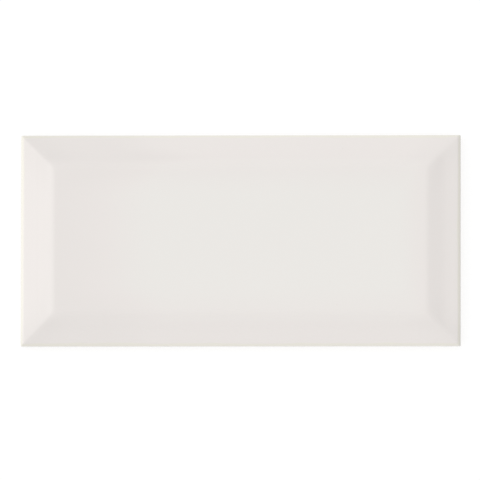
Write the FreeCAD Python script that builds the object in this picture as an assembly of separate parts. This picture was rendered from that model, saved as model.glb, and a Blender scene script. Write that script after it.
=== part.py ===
"""Bevelled subway wall tile, pressed and fired as one piece of glazed white ceramic.

Millimetres. X runs along the tile, Y across it and +Z out of its glazed face. The origin is the
centre of the plane that the rib crests on the back lie in, so the tile rests on Z = 0, face up.
"""

import FreeCAD, Part
import math
import os

# Outline of the face
LENGTH = 150.0
WIDTH = 72.2

# Heights, measured from the rib crests on the back
THICKNESS = 8.0
RIM_HEIGHT = 5.0

# Bevel: how far it runs in from each end and from each long side, up to the flat field
BEVEL_ALONG = 11.3
BEVEL_ACROSS = 11.2

# The outer half of the bevel is a flatter foot, eased into the steep band above it.
# Both runs are measured across the long sides, and grow with the bevel at the ends.
FOOT_RUN = 5.5
FOOT_RISE = 1.1
FOOT_EASING = 1.2
FOOT_EASING_STEPS = 6

# Roundings that the glaze leaves on the edges of the face, across them and at their corners
FIELD_ARRIS_RADIUS = 6.0
FIELD_ARRIS_STEPS = 6
FIELD_CORNER_RADIUS = 1.6
RIM_ARRIS_RADIUS = 1.8
RIM_ARRIS_STEPS = 6
RIM_CORNER_RADIUS = 0.6

# Side: upright under the rim, and tapered in towards the back below that
TAPER_HEIGHT = 1.1
SIDE_TAPER = 0.4
BACK_EDGE_RADIUS = 0.35
BACK_EDGE_STEPS = 3

# Keyed back: a lattice of shallow ribs that the adhesive grips, inside a plain margin
RIB_HEIGHT = 0.7
RIB_WIDTH = 1.5
RIB_PITCH = 10.8
RIB_DRAFT_DEGREES = 30.0
BACK_MARGIN = 4.0
POCKET_CORNER_CUT = 0.8


def rounded_rectangle(length, width, radius, z):
    """A closed wire of four straight sides and four corner arcs, centred on the Z axis."""
    x_arc = length / 2 - radius
    y_arc = width / 2 - radius
    up = FreeCAD.Vector(0, 0, 1)
    arcs = []
    for quarter, (x_side, y_side) in enumerate([(1, 1), (-1, 1), (-1, -1), (1, -1)]):
        arc_centre = FreeCAD.Vector(x_side * x_arc, y_side * y_arc, z)
        start = quarter * math.pi / 2
        circle = Part.Circle(arc_centre, up, radius)
        arcs.append(Part.ArcOfCircle(circle, start, start + math.pi / 2).toShape())
    edges = []
    for arc, next_arc in zip(arcs, arcs[1:] + arcs[:1]):
        edges += [arc, Part.makeLine(arc.lastVertex().Point, next_arc.firstVertex().Point)]
    return Part.Wire(edges)


def tile_section(z, inset_along, inset_across, radius):
    """The tile's rounded outline at height z, drawn in from the face's outline on each side."""
    return rounded_rectangle(LENGTH - 2 * inset_along, WIDTH - 2 * inset_across, radius, z)


def rounded_corner(run, height, angle_in, angle_out, radius, steps):
    """Points of the arc that rounds a corner of the profile, which turns from one angle to another.

    Angles are those of the profile's direction over the run, and the turn is clockwise.
    """
    reach = radius * math.tan((angle_in - angle_out) / 2)
    start_run = run - reach * math.cos(angle_in)
    start_height = height - reach * math.sin(angle_in)
    centre_run = start_run + radius * math.sin(angle_in)
    centre_height = start_height - radius * math.cos(angle_in)
    points = []
    for step in range(steps + 1):
        angle = angle_in + (angle_out - angle_in) * step / steps
        points.append((centre_run - radius * math.sin(angle), centre_height + radius * math.cos(angle)))
    return points


def back_edge_profile():
    """Points (run in from the side, height) round the back's edge and up the tapered side."""
    side_angle = math.pi - math.atan2(TAPER_HEIGHT, SIDE_TAPER)
    edge = rounded_corner(
        SIDE_TAPER, RIB_HEIGHT, math.pi, side_angle, BACK_EDGE_RADIUS, BACK_EDGE_STEPS
    )
    return edge + [(0.0, RIB_HEIGHT + TAPER_HEIGHT)]


def bevel_profile():
    """Points (run in from the side, height) over the rim and across the bevel to the flat field.

    The foot and the steep band are straight. Between them a parabola touches both.
    """
    foot_slope = FOOT_RISE / FOOT_RUN
    band_slope = (THICKNESS - RIM_HEIGHT - FOOT_RISE) / (BEVEL_ACROSS - FOOT_RUN)
    points = rounded_corner(
        0.0, RIM_HEIGHT, math.pi / 2, math.atan(foot_slope), RIM_ARRIS_RADIUS, RIM_ARRIS_STEPS
    )
    for step in range(FOOT_EASING_STEPS + 1):
        progress = step / FOOT_EASING_STEPS
        offset = (2 * progress - 1) * FOOT_EASING
        lift = (band_slope - foot_slope) * FOOT_EASING * progress**2
        points.append((FOOT_RUN + offset, RIM_HEIGHT + FOOT_RISE + foot_slope * offset + lift))
    return points + rounded_corner(
        BEVEL_ACROSS, THICKNESS, math.atan(band_slope), 0.0, FIELD_ARRIS_RADIUS, FIELD_ARRIS_STEPS
    )


def pressed_body():
    """The tile from the root of its ribs up to the field, with its glaze-softened edges."""
    sections = [tile_section(z, run, run, RIM_CORNER_RADIUS) for run, z in back_edge_profile()]
    for run, height in bevel_profile():
        share = run / BEVEL_ACROSS
        radius = RIM_CORNER_RADIUS + share * (FIELD_CORNER_RADIUS - RIM_CORNER_RADIUS)
        sections.append(tile_section(height, share * BEVEL_ALONG, run, radius))
    return Part.makeLoft(sections, True, True)


def cells_and_pitch(crest_size):
    """How many pockets fit between the outer ribs, and their true pitch.

    The count is even, so that a rib always runs along the tile's centre line.
    """
    room = crest_size - RIB_WIDTH
    cells = 2 * max(1, round(room / RIB_PITCH / 2))
    return cells, room / cells


def drafted_block(length, width, draft_run):
    """A block as high as the ribs, with its upright edges cut off at the corners.

    Length and width are those at Z = 0. The draft widens it on each side on the way up.
    """
    x, y = length / 2, width / 2
    far_x, far_y = x + draft_run, y + draft_run
    block = Part.makeWedge(-x, 0, -y, -far_y, -far_x, x, RIB_HEIGHT, y, far_y, far_x)
    block.rotate(FreeCAD.Vector(0, 0, 0), FreeCAD.Vector(1, 0, 0), 90)
    upright = [edge for edge in block.Edges if edge.BoundBox.ZLength > RIB_HEIGHT / 2]
    return block.makeChamfer(POCKET_CORNER_CUT, upright)


def rib_lattice():
    """The ribs on the back: a drafted pad with a grid of drafted pockets pressed into it."""
    draft_run = RIB_HEIGHT * math.tan(math.radians(RIB_DRAFT_DEGREES))
    crest_inset = SIDE_TAPER + BACK_MARGIN + draft_run
    crest_length = LENGTH - 2 * crest_inset
    crest_width = WIDTH - 2 * crest_inset
    pad = drafted_block(crest_length, crest_width, draft_run)

    columns, pitch_x = cells_and_pitch(crest_length)
    rows, pitch_y = cells_and_pitch(crest_width)
    pocket = drafted_block(pitch_x - RIB_WIDTH, pitch_y - RIB_WIDTH, -draft_run)
    pockets = []
    for column in range(columns):
        for row in range(rows):
            x = (column - (columns - 1) / 2) * pitch_x
            y = (row - (rows - 1) / 2) * pitch_y
            pockets.append(pocket.translated(FreeCAD.Vector(x, y, 0)))
    return pad.cut(Part.makeCompound(pockets))


def wall_tile():
    """The whole tile, as one solid."""
    return pressed_body().fuse(rib_lattice()).removeSplitter().Solids[0]


def main():
    os.makedirs("parts", exist_ok=True)
    tile = wall_tile()
    tile.exportStep("parts/wall_tile.step")
    box = tile.optimalBoundingBox()
    print(f"wall_tile {box.XLength:.3f} x {box.YLength:.3f} x {box.ZLength:.3f} mm")
    print(f"volume {tile.Volume / 1000:.2f} cm3, valid {tile.isValid()}, faces {len(tile.Faces)}")


if __name__ == "__main__":
    main()
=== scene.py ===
"""Looks of a bevelled subway wall tile: warm white glaze over a pressed, keyed clay body.

Everything is in metres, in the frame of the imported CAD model: X along the tile, Y across it and
+Z out of its glazed face, with the rib crests on the back in the plane Z = 0.
"""

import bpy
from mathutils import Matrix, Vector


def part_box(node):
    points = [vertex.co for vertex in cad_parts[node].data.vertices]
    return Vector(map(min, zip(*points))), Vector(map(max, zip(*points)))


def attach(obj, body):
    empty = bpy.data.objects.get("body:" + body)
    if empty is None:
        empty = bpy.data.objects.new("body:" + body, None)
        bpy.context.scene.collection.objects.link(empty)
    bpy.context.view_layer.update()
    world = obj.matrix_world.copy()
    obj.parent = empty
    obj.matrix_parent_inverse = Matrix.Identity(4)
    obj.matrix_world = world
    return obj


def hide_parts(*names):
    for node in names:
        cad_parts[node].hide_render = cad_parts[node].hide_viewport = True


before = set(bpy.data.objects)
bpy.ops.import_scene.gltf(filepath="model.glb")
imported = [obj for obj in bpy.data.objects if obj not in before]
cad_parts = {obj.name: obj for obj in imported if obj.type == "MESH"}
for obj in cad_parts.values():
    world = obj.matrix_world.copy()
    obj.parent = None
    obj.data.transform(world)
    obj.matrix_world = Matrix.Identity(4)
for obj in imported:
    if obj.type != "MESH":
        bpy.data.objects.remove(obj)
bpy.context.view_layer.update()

import math
from typing import NamedTuple

import bpy
from mathutils import Matrix, Vector

bl_info = {
    "name": "Bevelled wall tile",
    "version": (1, 0, 0),
    "blender": (4, 5, 0),
    "location": "3D View > Sidebar > Wall tile",
    "description": "Builds a glazed bevelled wall tile and the stage it is shown on",
    "category": "Add Mesh",
}

TILE_NODE = "wall_tile"
BODY = "root"

TILE_LOW, TILE_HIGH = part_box(TILE_NODE)
CAD_LENGTH = TILE_HIGH.x - TILE_LOW.x
CAD_WIDTH = TILE_HIGH.y - TILE_LOW.y
CAD_THICKNESS = TILE_HIGH.z - TILE_LOW.z

# Names of what the tile's mesh carries
RADIUS_ATTRIBUTE = "corner_radius"
POCKET_ATTRIBUTE = "is_pocket"
COVER_ATTRIBUTE = "glaze_cover"


# Sizes and colours that a user would change


def number(name, description, default, **settings):
    """A number."""
    return bpy.props.FloatProperty(name=name, description=description, default=default, **settings)


def metres(name, description, default):
    """A size, shown in the scene's own unit."""
    return number(name, description, default, min=0.0, unit="LENGTH", precision=5)


def degrees(name, description, default):
    """An angle."""
    return number(name, description, math.radians(default), subtype="ANGLE", unit="ROTATION")


def fraction(name, description, default):
    """A number from 0 to 1."""
    return number(name, description, default, min=0.0, max=1.0)


def whole_number(name, description, default):
    """A whole number of at least 2."""
    return bpy.props.IntProperty(name=name, description=description, default=default, min=2)


def linear_colour(name, description, default):
    """A linear colour."""
    return bpy.props.FloatVectorProperty(
        name=name, description=description, default=default, size=3, min=0.0, max=1.0, subtype="COLOR"
    )


class TileShape(bpy.types.PropertyGroup):
    """Sizes of the pressed and glazed tile."""

    length: metres("Length", "Length of the face", CAD_LENGTH)
    width: metres("Width", "Width of the face", CAD_WIDTH)
    thickness: metres("Thickness", "Height of the flat field over the rib crests", CAD_THICKNESS)
    rim_height: metres("Rim height", "Height of the rim over the rib crests", 0.0050)
    bevel_along: metres("Bevel at the ends", "Run of the bevel in from each end", 0.0113)
    bevel_across: metres("Bevel at the sides", "Run of the bevel in from each long side", 0.0112)
    foot_run: metres("Foot run", "Run of the flatter outer part of the bevel", 0.0055)
    foot_rise: metres("Foot rise", "Rise of the flatter outer part of the bevel", 0.0011)
    foot_easing: metres("Foot easing", "Run over which the foot eases into the steep band", 0.0012)
    field_arris_radius: metres("Field arris", "Rounding of the edge round the field", 0.0060)
    field_corner_radius: metres("Field corner", "Rounding of the field's corners in plan", 0.0015)
    rim_arris_radius: metres("Rim arris", "Rounding of the edge round the rim", 0.0018)
    rim_corner_radius: metres("Rim corner", "Rounding of the rim's corners in plan", 0.0005)
    side_taper: metres("Side taper", "How far the side draws in towards the back", 0.0004)
    taper_height: metres("Taper height", "Height over which the side draws in", 0.0011)
    back_edge_radius: metres("Back edge", "Rounding of the back's outer edge", 0.00035)
    back_margin: metres("Back margin", "Plain margin round the keyed part of the back", 0.0040)
    rib_height: metres("Rib height", "Height of the ribs on the back", 0.0007)
    rib_width: metres("Rib width", "Width of a rib's crest", 0.0015)
    rib_draft: degrees("Rib draft", "Slope of a rib's flank", 30.0)
    pockets_along: whole_number("Pockets along", "Pockets in the back, along the tile", 12)
    pockets_across: whole_number("Pockets across", "Pockets in the back, across the tile", 6)
    pocket_steps: whole_number("Steps a pocket", "Mesh steps of the sides for each pocket", 6)
    corner_steps: whole_number("Corner steps", "Mesh steps round each corner of the tile", 6)
    glaze_line: metres("Glaze line", "Height on the side at which the glaze stops", 0.0021)
    glaze_drip: metres("Glaze drip", "How far the glaze line strays up and down", 0.0007)
    glaze_depth: metres("Glaze depth", "Thickness of the glaze at its lower edge", 0.00014)
    unevenness: metres("Unevenness", "Depth of the slow waves in the glazed face", 0.00003)
    seed: number("Seed", "Picks another run of waves and drips", 3.0)


class TileFinish(bpy.types.PropertyGroup):
    """Colours and surface of the glaze and of the bare clay."""

    field_colour: linear_colour("Field", "Glaze on the flat field", (0.820, 0.800, 0.768))
    # Pinker than the field's glaze, and a little darker as painted shade
    bevel_colour: linear_colour("Bevel", "Glaze on the bevels", (0.8135, 0.7745, 0.7495))
    thin_colour: linear_colour("Thin glaze", "Thin glaze, over the rim", (0.810, 0.788, 0.706))
    clay_colour: linear_colour("Clay", "Bare fired clay", (0.745, 0.675, 0.565))
    clay_dark_colour: linear_colour("Clay grains", "Dark grains in the clay", (0.430, 0.330, 0.240))
    glaze_roughness: fraction("Glaze roughness", "Roughness of the clean glaze", 0.10)
    clay_roughness: fraction("Clay roughness", "Roughness of the bare clay", 0.89)
    grain_size: metres("Grain size", "Size of the clay's grains", 0.00035)
    ripple_size: metres("Ripple size", "Size of the ripples in the glaze", 0.0045)


class StageLook(bpy.types.PropertyGroup):
    """Floor, light and camera."""

    floor_size: metres("Floor size", "Side of the square floor", 8.0)
    sky_strength: number("Sky strength", "Light of the white surroundings on the tile", 0.9415, min=0.0)
    sky_lean: number("Sky lean", "How much brighter they are towards the lamp", 0.21, min=0.0)
    key_power: number("Key power", "Power of the soft lamp on the left", 95.0, min=0.0, unit="POWER")
    key_width: metres("Key width", "Width of the soft lamp", 12.0)
    key_height: metres("Key height", "Height of the soft lamp", 5.0)
    key_distance: metres("Key distance", "Distance of the soft lamp", 6.0)
    key_turn: degrees("Key turn", "Turn of the lamp from the left towards the top", 9.0)
    key_elevation: degrees("Key elevation", "Angle of the lamp over the floor", 23.5)
    camera_lens: number("Lens", "Focal length in millimetres", 1000.0, min=1.0, unit="CAMERA")
    view_width: metres("View width", "Width that the picture takes in at the tile", 0.16345)
    lean_right: degrees("Lean right", "Camera off the tile's normal, to its right end", 2.0)
    lean_down: degrees("Lean down", "Camera off the tile's normal, to its lower side", 4.5)
    roll: degrees("Roll", "Turn of the camera about its own axis", 0.08)
    aim: bpy.props.FloatVectorProperty(
        name="Aim", description="Middle of the picture, on the tile", default=(-0.00022, 0.00023),
        size=2, unit="LENGTH", precision=5,
    )


# Node trees

# Distance between one node and the next in the node editor
NODE_SPACING = 180
WHITE = (1.0, 1.0, 1.0, 1.0)


def socket_of(sockets, key):
    """The socket with that place, identifier or name, of those in use."""
    if isinstance(key, int):
        return sockets[key]
    for socket in sockets:
        if socket.identifier == key:
            return socket
    return next(socket for socket in sockets if socket.enabled and socket.name == key)


class Graph:
    """Adds nodes to a tree. An input is given as a value or as the socket that feeds it."""

    def __init__(self, tree):
        self.tree = tree

    def node(self, kind, inputs=None, **settings):
        """A new node with its settings and inputs."""
        node = self.tree.nodes.new(kind)
        node.location = (NODE_SPACING * (len(self.tree.nodes) - 1), 0)
        for name, value in settings.items():
            setattr(node, name, value)
        for key, value in (inputs or {}).items():
            self.feed(socket_of(node.inputs, key), value)
        return node

    def add(self, kind, inputs=None, **settings):
        """The outputs of a new node."""
        return self.node(kind, inputs, **settings).outputs

    def feed(self, socket, value):
        """Sets an input, or links it to the socket that feeds it."""
        if isinstance(value, bpy.types.NodeSocket):
            self.tree.links.new(value, socket)
        else:
            socket.default_value = value

    def math(self, operation, *values, clamp=False):
        """What a Math node makes of the values."""
        inputs = dict(enumerate(values))
        return self.add("ShaderNodeMath", inputs, operation=operation, use_clamp=clamp)[0]

    def total(self, first, *others):
        """The values added up."""
        for value in others:
            first = self.math("ADD", first, value)
        return first

    def less(self, value, taken):
        """The value less what is taken off."""
        return self.math("SUBTRACT", value, taken)

    def times(self, first, *others):
        """The values multiplied."""
        for value in others:
            first = self.math("MULTIPLY", first, value)
        return first

    def line(self, value, slope, start):
        """The value times the slope, added to the start."""
        return self.math("MULTIPLY_ADD", value, slope, start)

    def ramp(self, value, low, high, to_low=0.0, to_high=1.0):
        """The value's smooth rise from to_low at low to to_high at high, level outside them."""
        inputs = {"Value": value, "From Min": low, "From Max": high, "To Min": to_low, "To Max": to_high}
        return self.add("ShaderNodeMapRange", inputs, interpolation_type="SMOOTHSTEP")[0]

    def fall(self, value, low, high, to_low=1.0):
        """The value's smooth fall from to_low at low to 0 at high, level outside them."""
        return self.ramp(value, low, high, to_low, 0.0)

    def mix(self, share, first, second):
        """A mix of two numbers."""
        inputs = {"Factor_Float": share, "A_Float": first, "B_Float": second}
        return socket_of(self.add("ShaderNodeMix", inputs, data_type="FLOAT"), "Result_Float")

    def mix_colour(self, share, first, second, blend="MIX"):
        """A mix of two colours."""
        inputs = {"Factor_Float": share, "A_Color": first, "B_Color": second}
        mixed = self.add("ShaderNodeMix", inputs, data_type="RGBA", blend_type=blend)
        return socket_of(mixed, "Result_Color")

    def shade(self, colour, red, green, blue):
        """A colour with each of its parts multiplied by a number."""
        numbers = self.add("ShaderNodeCombineColor", {0: red, 1: green, 2: blue})[0]
        return self.mix_colour(1.0, colour, numbers, "MULTIPLY")

    def xyz(self, vector):
        """A vector's X, Y and Z."""
        return self.add("ShaderNodeSeparateXYZ", {0: vector})

    def attribute(self, name, kind):
        """An attribute of the mesh, in a geometry tree."""
        return self.add("GeometryNodeInputNamedAttribute", {"Name": name}, data_type=kind)["Attribute"]

    def noise(self, vector, size, detail=2.0, roughness=0.5, seed=None):
        """Smooth noise whose waves are about as long as size."""
        inputs = {"Vector": vector, "Scale": 1.0 / size, "Detail": detail, "Roughness": roughness}
        if seed is None:
            return self.add("ShaderNodeTexNoise", inputs, noise_dimensions="3D")[0]
        inputs["W"] = seed
        return self.add("ShaderNodeTexNoise", inputs, noise_dimensions="4D")[0]

    def dots(self, vector, size, core, reach, share, channel=0):
        """Round dots in a share of the cells of a scattered pattern, picked by their colour's channel.

        Size is that of a cell, and the core and the reach of a dot, where it fades, are parts of it.
        """
        cells = self.add("ShaderNodeTexVoronoi", {"Vector": vector, "Scale": 1.0 / size})
        dot = self.fall(cells["Distance"], core, reach)
        cell_number = self.add("ShaderNodeSeparateColor", {0: cells["Color"]})[channel]
        return self.times(dot, self.math("LESS_THAN", cell_number, share))

    def bump(self, height, strength, distance, normal=None):
        """A normal that follows a height, which counts in units of the distance."""
        inputs = {"Strength": strength, "Distance": distance, "Height": height}
        if normal is not None:
            inputs["Normal"] = normal
        return self.add("ShaderNodeBump", inputs)[0]


def new_group(name, kind, inputs, outputs):
    """A node group with its named sockets: its graph, what it is given, and where its result goes."""
    tree = bpy.data.node_groups.new(name, kind)
    new_socket = tree.interface.new_socket
    for label, data, *default in inputs:
        socket = new_socket(label, in_out="INPUT", socket_type="NodeSocket" + data)
        if default:
            socket.default_value = default[0]
    for label, data in outputs:
        new_socket(label, in_out="OUTPUT", socket_type="NodeSocket" + data)
    graph = Graph(tree)
    return graph, graph.add("NodeGroupInput"), graph.node("NodeGroupOutput").inputs


# The tile's mesh

# Vertices closer than this are one vertex: the sweep's seam, its middle and the pockets' borders
WELD_DISTANCE = 5e-6
# Edges that turn by more than this stay crisp in the shading
CRISP_ANGLE = math.radians(35)
POCKET_CORNER_STEPS = 3

# The glaze line: what its short drips add to the long ones, and how soft the glaze's edge is
SHORT_DRIP_SHARE = 0.45
COVER_SOFTNESS = 0.00030
EDGE_SOFTNESS = 0.00012
# Faces with less of a cover than this are bare clay
BARE_COVER = 0.002
# The bead of glaze over that line, and how much thinner the glaze is between the bead and the rim
BEAD_HEIGHT = 0.00042
BEAD_SPREAD = 0.00032
SIDE_THINNING = 0.4


def ring_sweep_group():
    """Sweeps a chain of points round rounded rectangles, one ring to a point.

    A point's X and Y say how far its ring is drawn in from the ends and from the long sides, its Z
    is the ring's height, and its own radius rounds the ring's corners. Each ring is four arcs with
    a side after each: arc, long side, arc, short side, and the same again turned half round.
    """
    graph, given, result = new_group("Sweep rings", "GeometryNodeTree", [
        ("Profile", "Geometry"),
        ("Length", "Float", 0.15),
        ("Width", "Float", 0.075),
        ("Corner Steps", "Int", 6),
        ("Long Steps", "Int", 48),
        ("Short Steps", "Int", 24),
    ], [("Mesh", "Geometry")])
    profile, length, width, corner, long_side, short_side = list(given)[:6]
    points = graph.add("GeometryNodeAttributeDomainSize", {"Geometry": profile})["Point Count"]
    half = graph.total(graph.times(corner, 2), graph.total(long_side, short_side))
    columns = graph.line(half, 2, 1)
    grid = graph.add("GeometryNodeMeshGrid", {"Vertices X": columns, "Vertices Y": points})["Mesh"]

    def whole_times(value, divisor):
        """How often the divisor goes into a whole number."""
        return graph.math("FLOOR", graph.math("DIVIDE", graph.total(value, 0.5), divisor))

    index = graph.add("GeometryNodeInputIndex")[0]
    ring = graph.math("MODULO", index, points)
    column = whole_times(index, points)
    turn = whole_times(column, half)
    step = graph.less(column, graph.times(turn, half))
    side = graph.line(graph.math("MODULO", turn, 2), -2, 1)

    shares = []
    for part in (corner, long_side, corner, short_side):
        shares.append(graph.math("DIVIDE", step, part, clamp=True))
        step = graph.less(step, part)
    first_arc, long_share, second_arc, short_share = shares
    angle = graph.times(graph.total(first_arc, second_arc), math.pi / 2)

    def of_ring(kind, value):
        """A value of the point that the ring goes through."""
        inputs = {"Geometry": profile, "Value": value, "Index": ring}
        return graph.add("GeometryNodeSampleIndex", inputs, data_type=kind, domain="POINT")["Value"]

    radius = of_ring("FLOAT", graph.attribute(RADIUS_ATTRIBUTE, "FLOAT"))
    drawn_in = graph.xyz(of_ring("FLOAT_VECTOR", graph.add("GeometryNodeInputPosition")[0]))

    def coordinate(size, inset, share, trigonometry):
        """X or Y of a point of the ring: the centre of its arc, and from there to the arc."""
        reach = graph.less(graph.line(size, 0.5, graph.times(inset, -1)), radius)
        centre = graph.times(reach, graph.line(share, -2, 1))
        point = graph.total(centre, graph.times(radius, graph.math(trigonometry, angle)))
        return graph.times(point, side)

    place = graph.add("ShaderNodeCombineXYZ", {
        "X": coordinate(length, drawn_in["X"], long_share, "COSINE"),
        "Y": coordinate(width, drawn_in["Y"], short_share, "SINE"),
        "Z": drawn_in["Z"],
    })[0]
    swept = graph.add("GeometryNodeSetPosition", {"Geometry": grid, "Position": place})[0]
    welded = graph.add("GeometryNodeMergeByDistance", {"Geometry": swept, "Distance": WELD_DISTANCE})
    graph.feed(result["Mesh"], welded[0])
    return graph.tree


def tile_group(sizes):
    """The whole tile: the pressed mesh under a glaze of uneven thickness, in its two materials."""
    inputs = [("Profiles", "Geometry"), ("Glaze", "Material"), ("Clay", "Material")]
    for name, size in sizes.items():
        inputs.append((name, "Int" if isinstance(size, int) else "Float", size))
    graph, given, result = new_group(
        "Pressed and glazed tile", "GeometryNodeTree", inputs, [("Tile", "Geometry")]
    )
    pressed = pressed_mesh(graph, given)
    cover, depth = glaze_cover_and_depth(graph, given)
    stored = {"Geometry": pressed, "Name": COVER_ATTRIBUTE, "Value": cover}
    marked = graph.add("GeometryNodeStoreNamedAttribute", stored, data_type="FLOAT", domain="POINT")[0]
    normal = graph.add("GeometryNodeInputNormal")[0]
    drawn_in = {0: normal, "Scale": graph.times(depth, -1)}
    offset = graph.add("ShaderNodeVectorMath", drawn_in, operation="SCALE")[0]
    glazed = graph.add("GeometryNodeSetPosition", {"Geometry": marked, "Offset": offset})[0]

    smooth = graph.add("GeometryNodeSetShadeSmooth", {"Geometry": glazed}, domain="FACE")[0]
    angle = graph.add("GeometryNodeInputMeshEdgeAngle")["Unsigned Angle"]
    is_crisp = graph.math("GREATER_THAN", angle, CRISP_ANGLE)
    kept_crisp = {"Geometry": smooth, "Selection": is_crisp, "Shade Smooth": False}
    crisp = graph.add("GeometryNodeSetShadeSmooth", kept_crisp, domain="EDGE")[0]
    real = graph.add("GeometryNodeRealizeInstances", {"Geometry": crisp})[0]
    is_bare = graph.math("LESS_THAN", graph.attribute(COVER_ATTRIBUTE, "FLOAT"), BARE_COVER)
    in_glaze = graph.add("GeometryNodeSetMaterial", {"Geometry": real, "Material": given["Glaze"]})[0]
    bare = {"Geometry": in_glaze, "Selection": is_bare, "Material": given["Clay"]}
    graph.feed(result["Tile"], graph.add("GeometryNodeSetMaterial", bare)[0])
    return graph.tree


def pressed_mesh(graph, given):
    """The tile as it is pressed: its body and the pockets in its back, welded together."""
    sweep = ring_sweep_group()
    along, across, steps = given["Pockets Along"], given["Pockets Across"], given["Pocket Steps"]
    pocket_length, pocket_width = given["Pocket Length"], given["Pocket Width"]

    def swept(*inputs):
        """A chain, swept round rectangles of a length and a width, in steps a corner and a side."""
        return graph.add("GeometryNodeGroup", dict(enumerate(inputs)), node_tree=sweep)[0]

    is_pocket = graph.attribute(POCKET_ATTRIBUTE, "BOOLEAN")
    parted = {"Geometry": given["Profiles"], "Selection": is_pocket}
    chains = graph.add("GeometryNodeSeparateGeometry", parted, domain="POINT")
    body = swept(
        chains["Inverted"], given["Length"], given["Width"],
        given["Corner Steps"], graph.times(along, steps), graph.times(across, steps),
    )
    pocket = swept(chains["Selection"], pocket_length, pocket_width, POCKET_CORNER_STEPS, steps, steps)
    places = graph.add("GeometryNodeMeshGrid", {
        "Size X": graph.times(graph.less(along, 1), pocket_length),
        "Size Y": graph.times(graph.less(across, 1), pocket_width),
        "Vertices X": along,
        "Vertices Y": across,
    })["Mesh"]
    pockets = graph.add("GeometryNodeInstanceOnPoints", {"Points": places, "Instance": pocket})[0]
    loose = graph.add("GeometryNodeRealizeInstances", {"Geometry": pockets})[0]
    join = graph.node("GeometryNodeJoinGeometry")
    for part in (body, loose):
        graph.feed(join.inputs[0], part)
    joined = {"Geometry": join.outputs[0], "Distance": WELD_DISTANCE}
    return graph.add("GeometryNodeMergeByDistance", joined)[0]


def glaze_cover_and_depth(graph, given):
    """How much a point is glazed, and how far the surface there lies inside the tile's outline.

    The glaze runs down the side and stops at an uneven line, in a low bead over the bare clay. The
    face has slow waves.
    """
    position = graph.add("GeometryNodeInputPosition")[0]
    seed, full_depth = given["Seed"], given["Glaze Depth"]
    along, upwards, height = graph.xyz(position)
    plan = graph.add("ShaderNodeCombineXYZ", {"X": along, "Y": upwards})[0]
    long_drips = graph.less(graph.noise(plan, size=0.022, detail=1.0, seed=seed), 0.5)
    short_drips = graph.less(graph.noise(plan, size=0.006, detail=1.0, seed=seed), 0.5)
    stray = graph.total(long_drips, graph.times(short_drips, SHORT_DRIP_SHARE))
    glaze_line = graph.line(stray, graph.times(given["Glaze Drip"], 2), given["Glaze Line"])
    over_line = graph.less(height, glaze_line)
    cover = graph.ramp(over_line, -COVER_SOFTNESS, COVER_SOFTNESS)
    edge = graph.ramp(over_line, -EDGE_SOFTNESS, EDGE_SOFTNESS)
    from_bead = graph.math("DIVIDE", graph.less(over_line, BEAD_HEIGHT), BEAD_SPREAD)
    bead = graph.math("EXPONENT", graph.times(from_bead, from_bead, -1))

    on_side = graph.ramp(height, low=0.00072, high=0.00105)
    under_rim = graph.fall(height, low=0.0036, high=0.0045)
    clay_depth = graph.times(graph.less(1.0, edge), full_depth)
    over_bead = graph.times(edge, graph.less(1.0, bead))
    thinning = graph.times(under_rim, graph.times(full_depth, SIDE_THINNING))
    side_depth = graph.times(on_side, graph.total(clay_depth, graph.times(over_bead, thinning)))

    waves = graph.noise(position, size=0.028, detail=1.0, seed=seed)
    on_face = graph.ramp(height, low=0.0044, high=0.0056)
    return cover, graph.total(side_depth, graph.times(waves, given["Unevenness"], on_face))


# The tile's profile

CREST_ROUNDING = 0.00015
RIB_FOOT_ROUNDING = 0.0002
TAPER_ROUNDING = 0.0010
KEYED_CORNER_RADIUS = 0.0008
# How far the rings with that corner radius reach into the back's margin
KEYED_REACH = 0.0005
# Width of the ring of faces round the floor of a pocket
POCKET_FLOOR_RING = 0.0010
EASING_STEPS = 8
# The shortest straight run that is divided, and the most that its end steps measure
SHORTEST_DIVIDED = 0.0012
LONGEST_HOLD = 0.00035


class Corner(NamedTuple):
    """A corner of a profile: its place, its rounding, and the longest mesh step after it."""

    run: float
    height: float
    rounding: float = 0.0
    arc_steps: int = 0
    longest_step: float = 1.0


def rounded_chain(corners):
    """Points along a chain of straight runs whose corners, but not its ends, may be rounded."""
    chain = []
    for place, corner in enumerate(corners):
        here = Vector((corner.run, corner.height))
        if corner.rounding == 0:
            arc = [here]
        else:
            back = (Vector(corners[place - 1][:2]) - here).normalized()
            ahead = (Vector(corners[place + 1][:2]) - here).normalized()
            turn = math.pi - back.angle(ahead)
            reach = corner.rounding * math.tan(turn / 2)
            centre = here + (back + ahead).normalized() * (corner.rounding / math.cos(turn / 2))
            start = here + back * reach - centre
            swing = math.copysign(turn, -back.x * ahead.y + back.y * ahead.x)
            arc = [
                centre + Matrix.Rotation(swing * step / corner.arc_steps, 2) @ start
                for step in range(corner.arc_steps + 1)
            ]
        if chain:
            chain += steps_between(chain[-1], arc[0], corners[place - 1].longest_step)
        chain += arc
    return chain


def steps_between(first, last, longest):
    """Points inside a straight run, of which the end steps are short, to hold the shading."""
    gap = (last - first).length
    if gap < SHORTEST_DIVIDED:
        return []
    hold = min(gap / 4, LONGEST_HOLD)
    inner = gap - 2 * hold
    steps = max(1, math.ceil(inner / longest))
    return [first.lerp(last, (hold + inner * step / steps) / gap) for step in range(steps + 1)]


def draft_run(shape):
    """How far a rib's flank runs out over the rib's height."""
    return shape.rib_height * math.tan(shape.rib_draft)


def border_inset(shape):
    """How far in from the tile's outline the middle of the outermost rib lies."""
    return shape.side_taper + shape.back_margin + draft_run(shape) + shape.rib_width / 2


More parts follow.
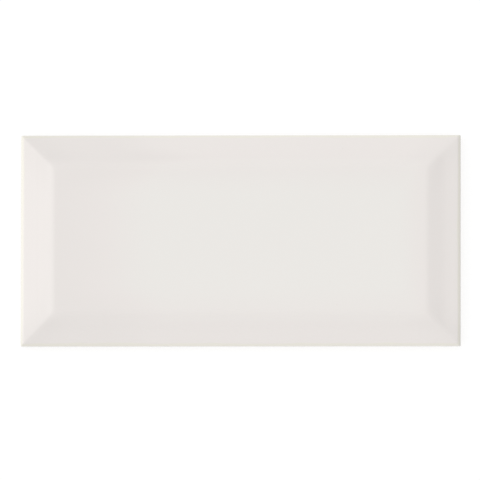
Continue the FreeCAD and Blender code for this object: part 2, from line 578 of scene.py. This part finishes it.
def back_profile(shape):
    """Points (run in from the side, height) from the outermost rib, round the back's edge and up."""
    margin_inset = shape.side_taper + shape.back_margin
    rib_height = shape.rib_height
    chain = rounded_chain([
        Corner(border_inset(shape), 0.0),
        Corner(margin_inset + draft_run(shape), 0.0, CREST_ROUNDING, arc_steps=3),
        Corner(margin_inset, rib_height, RIB_FOOT_ROUNDING, arc_steps=3, longest_step=0.002),
        Corner(shape.side_taper, rib_height, shape.back_edge_radius, arc_steps=5, longest_step=0.0002),
        Corner(0.0, rib_height + shape.taper_height, TAPER_ROUNDING, arc_steps=3, longest_step=0.0002),
        Corner(0.0, shape.rim_height - shape.rim_arris_radius),
    ])
    # The profile of the face begins with the last point
    return chain[:-1]


def face_profile(shape):
    """Points (run in from the side, height) over the rim and the bevel to the middle of the field.

    The foot and the steep band of the bevel are straight. Between them a parabola touches both.
    """
    rim = shape.rim_height
    foot_slope = shape.foot_rise / shape.foot_run
    band_run = shape.bevel_across - shape.foot_run
    band_slope = (shape.thickness - rim - shape.foot_rise) / band_run
    easing = []
    for step in range(EASING_STEPS + 1):
        progress = step / EASING_STEPS
        offset = (2 * progress - 1) * shape.foot_easing
        lift = (band_slope - foot_slope) * shape.foot_easing * progress**2
        height = rim + shape.foot_rise + foot_slope * offset + lift
        easing.append(Vector((shape.foot_run + offset, height)))
    rim_arc = rounded_chain([
        Corner(0.0, rim - shape.rim_arris_radius),
        Corner(0.0, rim, shape.rim_arris_radius, arc_steps=10, longest_step=0.0012),
        Corner(*easing[0]),
    ])
    field_arris = (shape.bevel_across, shape.thickness, shape.field_arris_radius)
    field_arc = rounded_chain([
        Corner(*easing[-1], longest_step=0.0010),
        Corner(*field_arris, arc_steps=10, longest_step=0.0025),
        Corner(shape.width / 2, shape.thickness),
    ])
    return rim_arc + easing[1:] + field_arc[1:]


def tile_rings(shape):
    """Rings of the tile's body, from its keyed back out, up the side and in over the face.

    Each is (drawn in from the ends, drawn in from the long sides, height, corner radius).
    """
    keyed = shape.side_taper + shape.back_margin - KEYED_REACH
    rings = [
        (run, run, height, KEYED_CORNER_RADIUS if run > keyed else shape.rim_corner_radius)
        for run, height in back_profile(shape)
    ]
    rings[0] = (*rings[0][:3], 0.0)
    widening = shape.bevel_along / shape.bevel_across
    growth = shape.field_corner_radius - shape.rim_corner_radius
    for run, height in face_profile(shape):
        over_bevel = min(run, shape.bevel_across)
        over_field = run - over_bevel
        field_share = over_field / (shape.width / 2 - shape.bevel_across)
        radius = shape.rim_corner_radius + over_bevel / shape.bevel_across * growth
        rings.append((over_bevel * widening + over_field, run, height, radius * (1 - field_share)))
    return rings


def pocket_rings(shape, pocket_length, pocket_width):
    """Rings of one pocket in the back, from the middle of its floor out to the middle of its ribs."""
    half_rib = shape.rib_width / 2
    foot = half_rib + draft_run(shape)
    wall = rounded_chain([
        Corner(foot + POCKET_FLOOR_RING, shape.rib_height),
        Corner(foot, shape.rib_height, RIB_FOOT_ROUNDING, arc_steps=2),
        Corner(half_rib, 0.0, CREST_ROUNDING, arc_steps=2),
        Corner(0.0, 0.0),
    ])
    rings = [(pocket_length / 2, pocket_width / 2, shape.rib_height, 0.0)]
    rings += [(run, run, height, KEYED_CORNER_RADIUS) for run, height in wall[:-1]]
    return rings + [(0.0, 0.0, 0.0, 0.0)]


def chain_mesh(name, chains):
    """A mesh of loose chains of points, each point with its corner radius and its kind of chain."""
    points = [ring for rings in chains for ring in rings]
    mesh = bpy.data.meshes.new(name)
    mesh.from_pydata([ring[:3] for ring in points], [], [])
    radius = mesh.attributes.new(RADIUS_ATTRIBUTE, "FLOAT", "POINT")
    radius.data.foreach_set("value", [ring[3] for ring in points])
    kind = mesh.attributes.new(POCKET_ATTRIBUTE, "BOOLEAN", "POINT")
    kind.data.foreach_set("value", [place > 0 for place, rings in enumerate(chains) for _ in rings])
    return mesh


def placed(name, data):
    """A new object in the scene, at the origin."""
    item = bpy.data.objects.new(name, data)
    bpy.context.scene.collection.objects.link(item)
    return item


def set_inputs(modifier, values):
    """Sets a nodes modifier's inputs, which are named by their sockets' identifiers."""
    for item in modifier.node_group.interface.items_tree:
        if item.item_type == "SOCKET" and item.in_out == "INPUT" and item.name in values:
            modifier[item.identifier] = values[item.name]


def made_by_nodes(name, host_mesh, group, values):
    """A new object whose plain mesh is what the node group makes of the host mesh."""
    host = placed(name + "_host", host_mesh)
    modifier = host.modifiers.new("Make", "NODES")
    modifier.node_group = group
    set_inputs(modifier, values)
    depsgraph = bpy.context.evaluated_depsgraph_get()
    mesh = bpy.data.meshes.new_from_object(
        host.evaluated_get(depsgraph), preserve_all_data_layers=True, depsgraph=depsgraph
    )
    mesh.name = name
    host.modifiers.remove(modifier)
    bpy.data.objects.remove(host)
    return placed(name, mesh)


# Finishes

CLAY_GROUP = "Fired clay"
# The clay's tone: how much of it is plain, and what grains and clouds add
PLAIN_CLAY = 0.86
GRAIN_TONE = 0.16
CLOUD_TONE = 0.12
# The blue of that tone is a little higher, and less so in the blushes
BLUE_LIFT = 0.04
BLUSH_BLUE = -0.08
SPECK_STRENGTH = 0.6
PORE_STRENGTH = 0.35
RUBBED_COLOUR = (0.80, 0.76, 0.69, 1.0)
GRAIN_ROUGHNESS = 0.14
GRAIN_HEIGHT = 0.6
# Strength and distance of the bump made of the clay's height
CLAY_BUMP = (0.6, 0.00006)

# The left end's painted shade and its pinker glaze reach further in near the long sides and on the
# upper steep band
FURTHER_NEAR_SIDE = -0.017
FURTHER_ON_BAND = -0.015
# How pink the field is near the long sides
SIDE_PINKNESS = 0.75
# The glaze's tone: what its slow and fine changes add to it, and the painted shade and painted light
# that the parts of the face add
PLAIN_GLAZE = 0.990
SLOW_TONE = 0.012
FINE_TONE = 0.006
# Painted shade towards the left end, on the field and on the lower and upper bevels
LEFT_FIELD_PAINTED_SHADE = -0.024
LOWER_LEFT_PAINTED_SHADE = -0.022
UPPER_LEFT_PAINTED_SHADE = -0.038
# Painted light on the foot and rim of the left end's bevel
LEFT_FOOT_PAINTED_LIGHT = 0.018
# Painted shade down the right end's rim and side
RIGHT_RIM_PAINTED_SHADE = -0.060
# Painted shade on the bevels near the hips
HIP_PAINTED_SHADE = -0.021
# Painted shade along the lower long side
LOWER_SIDE_PAINTED_SHADE = -0.019
# Painted light on the foot of each bevel
FOOT_PAINTED_LIGHT = 0.008
# How far the band of thin glaze strays up and down, and how much it takes its own colour
THIN_STRAY = 0.0006
THIN_STRENGTH = 0.85
THIN_EDGE_STRENGTH = 0.55
PIT_COLOUR = (0.52, 0.47, 0.40, 1.0)
PIT_STRENGTH = 0.35
FEATHERING = 0.35
# What haze, thin glaze and pits add to the glaze's roughness
HAZE_ROUGHNESS = 0.06
THIN_ROUGHNESS = 0.05
PIT_ROUGHNESS = 0.3
# The glaze's relief, in units of its ripples, and its bump's strength and distance
SWELL_LENGTH = 4
SWELL_HEIGHT = 2.5
PIT_HEIGHT = -3.0
GLAZE_BUMP = (0.5, 0.00001)


def rgba(colour):
    """A colour property's value as a socket takes it."""
    return (*colour, 1.0)


def new_material(name):
    """A material, and the graph of its empty tree."""
    material = bpy.data.materials.new(name)
    material.use_nodes = True
    material.node_tree.nodes.clear()
    return material, Graph(material.node_tree)


def new_finish(name):
    """A material of the tile: its graph, its shader's inputs and the tile's own coordinates."""
    material, graph = new_material(name)
    shader = graph.node("ShaderNodeBsdfPrincipled")
    graph.add("ShaderNodeOutputMaterial", {"Surface": shader.outputs[0]})
    return material, graph, shader.inputs, graph.add("ShaderNodeTexCoord")["Object"]


def clay_group():
    """Bare fired clay: pressed grains, iron specks and pores."""
    graph, given, result = new_group(CLAY_GROUP, "ShaderNodeTree", [
        ("Vector", "Vector"),
        ("Clay", "Color", (0.7, 0.62, 0.5, 1.0)),
        ("Dark", "Color", (0.4, 0.3, 0.2, 1.0)),
        ("Grain Scale", "Float", 2800.0),
        ("Crest Rub", "Float", 0.0),
        ("Roughness", "Float", 0.89),
    ], [("Color", "Color"), ("Roughness", "Float"), ("Height", "Float")])
    vector = given["Vector"]
    grained = {"Vector": vector, "Scale": given["Grain Scale"], "Detail": 3.0, "Roughness": 0.6}
    grain = graph.add("ShaderNodeTexNoise", grained)[0]
    cloud = graph.noise(vector, size=0.014, detail=3.0)
    blush = graph.noise(vector, size=0.045, detail=1.0)
    specks = graph.dots(vector, size=0.0016, core=0.065, reach=0.13, share=0.30)
    pores = graph.dots(vector, size=0.0009, core=0.11, reach=0.22, share=0.45)

    tone = graph.total(graph.times(grain, GRAIN_TONE), graph.line(cloud, CLOUD_TONE, PLAIN_CLAY))
    blue = graph.line(blush, BLUSH_BLUE, graph.total(tone, BLUE_LIFT))
    shaded = graph.shade(given["Clay"], tone, tone, blue)
    speckled = graph.mix_colour(graph.times(specks, SPECK_STRENGTH), shaded, given["Dark"])
    pitted = graph.mix_colour(graph.times(pores, PORE_STRENGTH), speckled, given["Dark"])
    rub = graph.times(given["Crest Rub"], graph.line(cloud, slope=0.5, start=0.1))
    graph.feed(result["Color"], graph.mix_colour(rub, pitted, RUBBED_COLOUR))
    roughness = graph.line(graph.less(grain, 0.5), GRAIN_ROUGHNESS, given["Roughness"])
    graph.feed(result["Roughness"], roughness)
    graph.feed(result["Height"], graph.less(graph.times(grain, GRAIN_HEIGHT), pores))
    return graph.tree


def clay_nodes(graph, vector, finish, crest_rub):
    """The clay group, placed in a material with this tile's colours."""
    tree = bpy.data.node_groups.get(CLAY_GROUP) or clay_group()
    return graph.add("ShaderNodeGroup", {
        "Vector": vector,
        "Clay": rgba(finish.clay_colour),
        "Dark": rgba(finish.clay_dark_colour),
        "Grain Scale": 1.0 / finish.grain_size,
        "Crest Rub": crest_rub,
        "Roughness": finish.clay_roughness,
    }, node_tree=tree)


def bare_clay(finish):
    """The unglazed back and lower side, paler where the rib crests have rubbed."""
    material, graph, shader, coordinates = new_finish("Cream fired clay")
    on_crest = graph.fall(graph.xyz(coordinates)["Z"], low=0.00003, high=0.00018)
    clay = clay_nodes(graph, coordinates, finish, on_crest)
    graph.feed(shader["Base Color"], clay["Color"])
    graph.feed(shader["Roughness"], clay["Roughness"])
    graph.feed(shader["Normal"], graph.bump(clay["Height"], *CLAY_BUMP))
    return material


def reach_over_bevel(graph, distance, size, bevel):
    """How far across a bevel a point is: 0 at the field's edge and 1 at the rim."""
    return graph.math("DIVIDE", graph.less(distance, size / 2 - bevel), bevel)


class GlazedPoint:
    """Where a point of the glaze lies, and how far it is on each part of the face."""

    def __init__(self, graph, shape, coordinates):
        self.centred = graph.add("ShaderNodeMapping", {"Vector": coordinates})[0]
        self.along, self.upwards, self.height = graph.xyz(coordinates)
        self.rim = shape.rim_height
        self.slow = graph.noise(self.centred, size=0.055, detail=1.0)
        self.fine = graph.noise(self.centred, size=0.012, detail=2.0)

        field = shape.thickness
        across = graph.math("ABSOLUTE", self.upwards)
        self.on_bevel = graph.fall(self.height, low=field - 0.0012, high=field - 0.0001)
        self.near_side = graph.ramp(across, low=0.014, high=0.027)
        self.upper = graph.ramp(self.upwards, low=-0.020, high=0.020)
        over_foot = graph.ramp(self.height, low=self.rim + 0.0004, high=self.rim + 0.0020)
        upper_band = graph.times(self.upper, graph.times(self.on_bevel, over_foot))
        side_from_left = graph.line(self.near_side, FURTHER_NEAR_SIDE, self.along)
        self.from_left = graph.line(upper_band, FURTHER_ON_BAND, side_from_left)

        from_middle = graph.math("ABSOLUTE", self.along)
        end_reach = reach_over_bevel(graph, from_middle, shape.length, shape.bevel_along)
        side_reach = reach_over_bevel(graph, across, shape.width, shape.bevel_across)
        self.past_hip = graph.less(end_reach, side_reach)
        at_end = graph.ramp(end_reach, low=-0.10, high=0.10)
        self.on_end_bevel = graph.times(at_end, graph.ramp(self.past_hip, low=-0.06, high=0.06))


def glaze_colour(graph, finish, point):
    """Creamier in the middle of the field, and pinker on the bevels and round the field's edge, where
    the bevel's colour is also a little darker as painted shade.
    """
    pink_left = graph.fall(point.from_left, low=-0.050, high=-0.028)
    pink_right = graph.ramp(point.along, low=0.052, high=0.064)
    pink_edge = graph.math("MAXIMUM", graph.times(point.near_side, SIDE_PINKNESS), pink_right)
    pinkness = graph.math("MAXIMUM", point.on_bevel, graph.math("MAXIMUM", pink_left, pink_edge))
    return graph.mix_colour(pinkness, rgba(finish.field_colour), rgba(finish.bevel_colour))


def glaze_tone_and_painted_shade(graph, point):
    """The glaze's slow and fine changes of tone, and painted shade: a little darker towards the left
    end, at the right rim, over the hips and along the lower side.

    The left end's bevel gets no painted shade. Painted light makes each foot a little lighter, and that
    bevel's a little more.
    """
    # Painted shade towards the left end, kept off the left end's bevel
    towards_left = graph.fall(point.from_left, low=-0.067, high=-0.040)
    bevel_painted_shade = graph.mix(point.upper, LOWER_LEFT_PAINTED_SHADE, UPPER_LEFT_PAINTED_SHADE)
    left_painted_shade = graph.mix(point.on_bevel, LEFT_FIELD_PAINTED_SHADE, bevel_painted_shade)
    # Painted light on the foot and rim of the left end's bevel
    left_foot_painted_light = graph.fall(point.along, low=-0.0705, high=-0.0690, to_low=LEFT_FOOT_PAINTED_LIGHT)
    from_hip = graph.math("ABSOLUTE", point.past_hip)
    return graph.total(
        graph.line(point.slow, SLOW_TONE, PLAIN_GLAZE),
        graph.times(point.fine, FINE_TONE),
        # Painted shade towards the left end
        graph.times(graph.times(towards_left, graph.less(1.0, point.on_end_bevel)), left_painted_shade),
        # Painted light on the left end's foot and rim
        graph.times(point.on_end_bevel, left_foot_painted_light),
        # Painted shade at the right end's rim and side
        graph.ramp(point.along, low=0.0735, high=0.0747, to_high=RIGHT_RIM_PAINTED_SHADE),
        # Painted shade on the bevels near the hips
        graph.times(point.on_bevel, graph.fall(from_hip, low=0.1, high=1.3, to_low=HIP_PAINTED_SHADE)),
        # Painted shade along the lower long side
        graph.fall(point.upwards, low=-0.0335, high=-0.0245, to_low=LOWER_SIDE_PAINTED_SHADE),
        # Painted light on the foot of each bevel
        graph.fall(point.height, point.rim + 0.0006, point.rim + 0.0018, to_low=FOOT_PAINTED_LIGHT),
    )


def thin_glaze(graph, point):
    """1 in a ragged band over the rim, where the glaze is thin."""
    stray = graph.times(graph.less(point.fine, 0.5), THIN_STRAY)
    height = graph.total(point.height, stray)
    over_side = graph.ramp(height, low=point.rim - 0.0014, high=point.rim - 0.0004)
    under_foot = graph.fall(height, low=point.rim + 0.00002, high=point.rim + 0.00022)
    return graph.times(over_side, under_foot)


def white_glaze(shape, finish):
    """Warm white glaze, thin and creamy over the rim, that ends in an uneven line over the clay."""
    material, graph, shader, coordinates = new_finish("Warm white glaze")
    point = GlazedPoint(graph, shape, coordinates)
    thin = thin_glaze(graph, point)
    thin_colour = rgba(finish.thin_colour)
    colour = glaze_colour(graph, finish, point)
    creamy = graph.mix_colour(graph.times(thin, THIN_STRENGTH), colour, thin_colour)
    # The tone holds painted shade and painted light besides the glaze's slow and fine changes
    tone = glaze_tone_and_painted_shade(graph, point)
    toned_and_painted = graph.shade(creamy, tone, tone, tone)

    # Pinholes: a few tiny pits where gas left the glaze
    pits = graph.dots(point.centred, size=0.0075, core=0.010, reach=0.026, share=0.16, channel=1)
    pitted = graph.mix_colour(graph.times(pits, PIT_STRENGTH), toned_and_painted, PIT_COLOUR)

    # Clay below the glaze line
    clay = clay_nodes(graph, coordinates, finish, 0.0)
    cover = graph.add("ShaderNodeAttribute", attribute_name=COVER_ATTRIBUTE)["Fac"]
    feather = graph.less(graph.noise(point.centred, size=0.0011), 0.5)
    feathered = graph.total(cover, graph.times(feather, FEATHERING))
    glazed = graph.ramp(feathered, low=0.44, high=0.56)
    thin_edge = graph.fall(feathered, low=0.56, high=0.98, to_low=THIN_EDGE_STRENGTH)
    over_edge = graph.mix_colour(graph.times(glazed, thin_edge), pitted, thin_colour)
    graph.feed(shader["Base Color"], graph.mix_colour(glazed, clay["Color"], over_edge))

    # Surface: glossy, with soft ripples, slight haze and pits
    haze = graph.less(graph.noise(point.centred, size=0.020, detail=4.0, roughness=0.6), 0.5)
    gloss = graph.total(
        graph.line(haze, HAZE_ROUGHNESS, finish.glaze_roughness),
        graph.line(thin, THIN_ROUGHNESS, graph.times(pits, PIT_ROUGHNESS)),
    )
    graph.feed(shader["Roughness"], graph.mix(glazed, clay["Roughness"], gloss))
    ripple = graph.noise(point.centred, finish.ripple_size, detail=2.0)
    swell = graph.noise(point.centred, finish.ripple_size * SWELL_LENGTH, detail=1.0)
    relief = graph.total(graph.line(swell, SWELL_HEIGHT, ripple), graph.times(pits, PIT_HEIGHT))
    rippled = graph.bump(graph.times(relief, glazed), *GLAZE_BUMP)
    clay_relief = graph.times(clay["Height"], graph.less(1.0, glazed))
    graph.feed(shader["Normal"], graph.bump(clay_relief, *CLAY_BUMP, rippled))
    return material


# The stage

# The floor's colour as it lights the tile, and as it is seen, with the light that it gives off then
FLOOR_COLOUR = (0.90, 0.90, 0.90, 1.0)
SEEN_FLOOR_COLOUR = (0.22, 0.22, 0.22, 1.0)
FLOOR_GLOW = 0.815
# How much of that light is left under the tile
GLOW_UNDER_TILE = 0.2
# Gap under the tile, so that the floor and the rib crests don't share a plane
FLOOR_GAP = 0.00003
CLIP_START = 0.1


def seen_rays(graph):
    """1 for what the camera sees, straight or in a reflection, and 0 for the light on the tile."""
    rays = graph.add("ShaderNodeLightPath")
    mirrored = graph.math("MAXIMUM", rays["Is Glossy Ray"], rays["Is Transmission Ray"])
    return graph.math("MAXIMUM", rays["Is Camera Ray"], mirrored)


def beside_tile(graph):
    """1 on the floor beside the tile, and 0 under it."""
    xyz = graph.xyz(graph.add("ShaderNodeTexCoord")["Object"])
    past_ends, past_sides = (
        graph.ramp(graph.math("ABSOLUTE", distance), low=reach - 0.0014, high=reach - 0.0004)
        for distance, reach in ((xyz["X"], CAD_LENGTH / 2), (xyz["Y"], CAD_WIDTH / 2))
    )
    return graph.math("MAXIMUM", past_ends, past_sides)


def floor_finish():
    """Plain white floor. The camera sees it white, with the tile's shadow, deeper under the tile."""
    material, graph = new_material("White studio floor")
    glowing = graph.mix(beside_tile(graph), GLOW_UNDER_TILE, 1.0)
    seen = graph.times(seen_rays(graph), glowing)
    plain = graph.add("ShaderNodeBsdfDiffuse", {"Color": FLOOR_COLOUR})[0]
    lit = graph.add("ShaderNodeBsdfDiffuse", {"Color": SEEN_FLOOR_COLOUR})[0]
    glow = graph.add("ShaderNodeEmission", {"Color": WHITE, "Strength": FLOOR_GLOW})[0]
    bright = graph.add("ShaderNodeAddShader", {0: lit, 1: glow})[0]
    mixed = graph.add("ShaderNodeMixShader", {0: seen, 1: plain, 2: bright})[0]
    graph.add("ShaderNodeOutputMaterial", {"Surface": mixed})
    return material


def level_towards_lamp(stage):
    """The level direction in which the lamp stands and the surroundings are brightest."""
    return Vector((-math.cos(stage.key_turn), math.sin(stage.key_turn), 0.0))


# Operators


class MakeWallTile(bpy.types.Operator):
    """Build the glazed wall tile in place of the plain one"""

    bl_idname = "wall_tile.make_tile"
    bl_label = "Make glazed tile"

    def execute(self, context):
        shape = context.scene.wall_tile_shape
        finish = context.scene.wall_tile_finish
        pocket_length = (shape.length - 2 * border_inset(shape)) / shape.pockets_along
        pocket_width = (shape.width - 2 * border_inset(shape)) / shape.pockets_across
        chains = [tile_rings(shape), pocket_rings(shape, pocket_length, pocket_width)]
        sizes = {
            "Length": shape.length,
            "Width": shape.width,
            "Corner Steps": shape.corner_steps,
            "Pockets Along": shape.pockets_along,
            "Pockets Across": shape.pockets_across,
            "Pocket Steps": shape.pocket_steps,
            "Pocket Length": pocket_length,
            "Pocket Width": pocket_width,
            "Glaze Line": shape.glaze_line,
            "Glaze Drip": shape.glaze_drip,
            "Glaze Depth": shape.glaze_depth,
            "Unevenness": shape.unevenness,
            "Seed": shape.seed,
        }
        tile = made_by_nodes(
            "glazed_wall_tile",
            chain_mesh("tile_profiles", chains),
            tile_group(sizes),
            {**sizes, "Glaze": white_glaze(shape, finish), "Clay": bare_clay(finish)},
        )
        if not tile.data.polygons:
            raise RuntimeError("the tile's node group made no faces")
        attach(tile, BODY)
        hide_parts(TILE_NODE)
        return {"FINISHED"}


class MakeStage(bpy.types.Operator):
    """Set up the floor, the soft light and the camera over the tile"""

    bl_idname = "wall_tile.make_stage"
    bl_label = "Make stage"

    def execute(self, context):
        stage = context.scene.wall_tile_stage
        self.make_floor(stage)
        self.make_sky(context.scene, stage)
        self.make_lamp(stage)
        self.make_camera(context.scene, stage)
        context.scene.view_settings.view_transform = "Standard"
        return {"FINISHED"}

    def make_floor(self, stage):
        """The level floor that the tile lies on."""
        reach = stage.floor_size / 2
        level = TILE_LOW.z - FLOOR_GAP
        corners = [(-reach, -reach), (reach, -reach), (reach, reach), (-reach, reach)]
        mesh = bpy.data.meshes.new("floor")
        mesh.from_pydata([(x, y, level) for x, y in corners], [], [(0, 1, 2, 3)])
        mesh.materials.append(floor_finish())
        floor = placed("floor", mesh)

    def make_sky(self, scene, stage):
        """White surroundings, whose light on the tile is stronger on the lamp's side."""
        world = bpy.data.worlds.new("White surroundings")
        world.use_nodes = True
        world.node_tree.nodes.clear()
        graph = Graph(world.node_tree)
        direction = graph.add("ShaderNodeTexCoord")["Generated"]
        compared = {0: direction, 1: level_towards_lamp(stage)}
        lean = graph.add("ShaderNodeVectorMath", compared, operation="DOT_PRODUCT")["Value"]
        light = graph.times(graph.line(lean, stage.sky_lean, 1.0), stage.sky_strength)
        strength = graph.mix(seen_rays(graph), light, 1.0)
        sky = graph.add("ShaderNodeBackground", {"Color": WHITE, "Strength": strength})[0]
        graph.add("ShaderNodeOutputWorld", {"Surface": sky})
        scene.world = world

    def make_lamp(self, stage):
        """One large soft lamp on the left."""
        light = bpy.data.lights.new("soft_key", "AREA")
        light.shape = "RECTANGLE"
        light.size = stage.key_width
        light.size_y = stage.key_height
        light.energy = stage.key_power
        lamp = placed("soft_key", light)
        towards = level_towards_lamp(stage) * math.cos(stage.key_elevation)
        towards.z = math.sin(stage.key_elevation)
        lamp.location = towards * stage.key_distance
        lamp.rotation_euler = towards.to_track_quat("Z", "Y").to_euler()

    def make_camera(self, scene, stage):
        """A camera with a very long lens, nearly square over the face."""
        data = bpy.data.cameras.new("camera")
        data.sensor_fit = "HORIZONTAL"
        data.lens = stage.camera_lens
        distance = stage.view_width * stage.camera_lens / data.sensor_width
        data.clip_start = CLIP_START
        data.clip_end = distance * 3
        camera = placed("camera", data)
        back = Vector((math.tan(stage.lean_right), -math.tan(stage.lean_down), 1.0)).normalized()
        right = Vector((0.0, 1.0, 0.0)).cross(back).normalized()
        up = back.cross(right)
        turn = Matrix.Rotation(stage.roll, 3, "Z")
        facing = Matrix((right, up, back)).transposed() @ turn
        aim = Vector((*stage.aim, TILE_HIGH.z / 2))
        camera.matrix_world = Matrix.Translation(aim + back * distance) @ facing.to_4x4()
        scene.camera = camera


class WallTilePanel(bpy.types.Panel):
    """Sizes, finish and stage of the wall tile."""

    bl_idname = "VIEW3D_PT_wall_tile"
    bl_label = "Wall tile"
    bl_space_type = "VIEW_3D"
    bl_region_type = "UI"
    bl_category = "Wall tile"

    def draw(self, context):
        for group, operator in [
            (context.scene.wall_tile_shape, None),
            (context.scene.wall_tile_finish, MakeWallTile.bl_idname),
            (context.scene.wall_tile_stage, MakeStage.bl_idname),
        ]:
            column = self.layout.column()
            for name in group.__annotations__:
                column.prop(group, name)
            if operator:
                column.operator(operator)


CLASSES = (TileShape, TileFinish, StageLook, MakeWallTile, MakeStage, WallTilePanel)


def register():
    for cls in CLASSES:
        bpy.utils.register_class(cls)
    bpy.types.Scene.wall_tile_shape = bpy.props.PointerProperty(type=TileShape)
    bpy.types.Scene.wall_tile_finish = bpy.props.PointerProperty(type=TileFinish)
    bpy.types.Scene.wall_tile_stage = bpy.props.PointerProperty(type=StageLook)


def unregister():
    del bpy.types.Scene.wall_tile_stage
    del bpy.types.Scene.wall_tile_finish
    del bpy.types.Scene.wall_tile_shape
    for cls in reversed(CLASSES):
        bpy.utils.unregister_class(cls)


def main():
    register()
    bpy.ops.wall_tile.make_tile()
    bpy.ops.wall_tile.make_stage()


if __name__ == "__main__":
    main()
